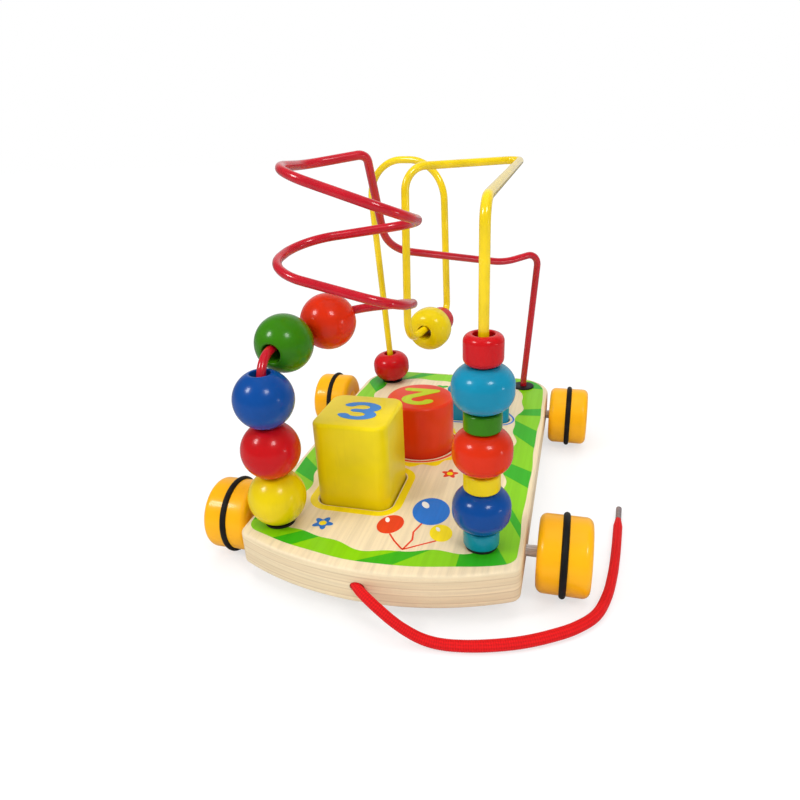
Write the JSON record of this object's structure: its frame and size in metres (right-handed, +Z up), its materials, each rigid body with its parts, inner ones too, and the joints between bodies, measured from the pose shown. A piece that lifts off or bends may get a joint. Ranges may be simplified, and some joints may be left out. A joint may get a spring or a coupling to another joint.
{
  "type": "bead maze",
  "caption": "Pull-along wooden bead maze: a wheeled plywood board with two bent wires, sliding beads, lift-out counting blocks and a pull cord.",
  "frame": {"origin": "on the floor, below the middle of the board, on its centre line", "axes": "+Z up, +Y towards the rear along the board, +X to the right seen from the front; the bowed front edge faces -Y"},
  "size_m": [0.2141, 0.2507, 0.1967],
  "materials": {
    "board_wood": "clear satin lacquer over pale plywood, printed top",
    "collar_black": "satin black",
    "wire_red": "glossy red coating",
    "wire_yellow": "glossy yellow coating",
    "axle_steel": "turned steel",
    "wheel_orange": "orange-yellow lacquered wood",
    "tyre_black": "matt black rubber",
    "bead_yellow": "glossy yellow lacquer",
    "bead_red": "glossy red lacquer",
    "bead_blue": "glossy blue lacquer",
    "bead_green": "glossy green lacquer",
    "bead_orange": "glossy orange lacquer",
    "bead_teal": "glossy teal lacquer",
    "bead_cyan": "glossy light blue lacquer",
    "block_yellow": "satin yellow lacquer, printed top",
    "block_orange": "satin orange lacquer, printed top",
    "block_teal": "satin teal lacquer, printed top",
    "cord_red": "braided red cord",
    "cord_sleeve": "grey-brown sleeve"
  },
  "bodies": {
    "chassis": {"base_board": "board_wood", "collar_front_left": "collar_black", "collar_front_right": "collar_black", "collar_rear_left": "collar_black", "collar_rear_right": "collar_black", "red_wire": "wire_red", "yellow_wire": "wire_yellow", "pull_cord": "cord_red", "cord_tip": "cord_sleeve"},
    "front_axle_set": {"front_axle": "axle_steel", "wheel_front_left": "wheel_orange", "wheel_front_right": "wheel_orange", "tyre_front_left": "tyre_black", "tyre_front_right": "tyre_black"},
    "rear_axle_set": {"rear_axle": "axle_steel", "wheel_rear_left": "wheel_orange", "wheel_rear_right": "wheel_orange", "tyre_rear_left": "tyre_black", "tyre_rear_right": "tyre_black"},
    "ball_yellow_body": {"ball_yellow": "bead_yellow"},
    "ball_red_body": {"ball_red": "bead_red"},
    "ball_blue_body": {"ball_blue": "bead_blue"},
    "ball_green_body": {"ball_green": "bead_green"},
    "ball_orange_body": {"ball_orange": "bead_orange"},
    "stack_teal_body": {"stack_teal": "bead_teal"},
    "stack_blue_body": {"stack_blue": "bead_blue"},
    "stack_yellow_body": {"stack_yellow": "bead_yellow"},
    "stack_orange_body": {"stack_orange": "bead_orange"},
    "stack_green_body": {"stack_green": "bead_green"},
    "stack_cyan_body": {"stack_cyan": "bead_cyan"},
    "stack_red_body": {"stack_red": "bead_red"},
    "loop_yellow_bead_body": {"loop_yellow_bead": "bead_yellow"},
    "loop_red_bead_body": {"loop_red_bead": "bead_red"},
    "rear_red_bead_body": {"rear_red_bead": "bead_red"},
    "block_three_body": {"block_three": "block_yellow"},
    "block_two_body": {"block_two": "block_orange"},
    "block_one_body": {"block_one": "block_teal"}
  },
  "joints": [
    {"name": "front_wheels_roll", "type": "hinge", "parent": "chassis", "child": "front_axle_set", "pos_m": [0.0015, -0.0775, 0.02], "axis": [1, 0, 0], "continuous": true},
    {"name": "rear_wheels_roll", "type": "hinge", "parent": "chassis", "child": "rear_axle_set", "pos_m": [-0.0015, 0.0775, 0.02], "axis": [1, 0, 0], "continuous": true},
    {"name": "ball_yellow_spin", "type": "hinge", "parent": "chassis", "child": "ball_yellow_body", "pos_m": [-0.0515, -0.0915, 0.06], "axis": [0, 0, 1], "continuous": true},
    {"name": "ball_red_spin", "type": "hinge", "parent": "chassis", "child": "ball_red_body", "pos_m": [-0.0515, -0.0915, 0.06], "axis": [0, 0, 1], "continuous": true},
    {"name": "ball_blue_spin", "type": "hinge", "parent": "chassis", "child": "ball_blue_body", "pos_m": [-0.0515, -0.0915, 0.06], "axis": [0, 0, 1], "continuous": true},
    {"name": "ball_green_along_sweep", "type": "hinge", "parent": "chassis", "child": "ball_green_body", "pos_m": [-0.01386, -0.07013, 0.12068], "axis": [0.138, 0.081, -0.9871], "range_deg": [0, 10]},
    {"name": "ball_orange_along_sweep", "type": "hinge", "parent": "ball_green_body", "child": "ball_orange_body", "pos_m": [-0.01386, -0.07013, 0.12068], "axis": [0.138, 0.081, -0.9871], "range_deg": [0, 14]},
    {"name": "stack_teal_up_post", "type": "slide", "parent": "chassis", "child": "stack_teal_body", "axis": [0, 0, 1], "range_m": [0, 0.002]},
    {"name": "stack_blue_up_post", "type": "slide", "parent": "stack_teal_body", "child": "stack_blue_body", "axis": [0, 0, 1], "range_m": [0, 0.002]},
    {"name": "stack_yellow_up_post", "type": "slide", "parent": "stack_blue_body", "child": "stack_yellow_body", "axis": [0, 0, 1], "range_m": [0, 0.0025]},
    {"name": "stack_orange_up_post", "type": "slide", "parent": "stack_yellow_body", "child": "stack_orange_body", "axis": [0, 0, 1], "range_m": [0, 0.0035]},
    {"name": "stack_green_up_post", "type": "slide", "parent": "stack_orange_body", "child": "stack_green_body", "axis": [0, 0, 1], "range_m": [0, 0.004]},
    {"name": "stack_cyan_up_post", "type": "slide", "parent": "stack_green_body", "child": "stack_cyan_body", "axis": [0, 0, 1], "range_m": [0, 0.006]},
    {"name": "stack_red_up_post", "type": "slide", "parent": "stack_cyan_body", "child": "stack_red_body", "axis": [0, 0, 1], "range_m": [0, 0.0095]},
    {"name": "loop_red_along_loop", "type": "slide", "parent": "chassis", "child": "loop_red_bead_body", "axis": [0.1521, 0.9884, 0], "range_m": [-0.0039, 0]},
    {"name": "loop_yellow_along_loop", "type": "slide", "parent": "loop_red_bead_body", "child": "loop_yellow_bead_body", "axis": [0.1521, 0.9884, 0], "range_m": [-0.0049, 0]},
    {"name": "rear_red_up_post", "type": "slide", "parent": "chassis", "child": "rear_red_bead_body", "axis": [-0.049, -0.0523, 0.9974], "range_m": [0, 0.103]},
    {"name": "block_three_lift", "type": "slide", "parent": "chassis", "child": "block_three_body", "axis": [0, 0, 1], "range_m": [0, 0.012]},
    {"name": "block_two_lift", "type": "slide", "parent": "chassis", "child": "block_two_body", "axis": [0, 0, 1], "range_m": [0, 0.012]},
    {"name": "block_one_lift", "type": "slide", "parent": "chassis", "child": "block_one_body", "axis": [0, 0, 1], "range_m": [0, 0.012]}
  ]
}
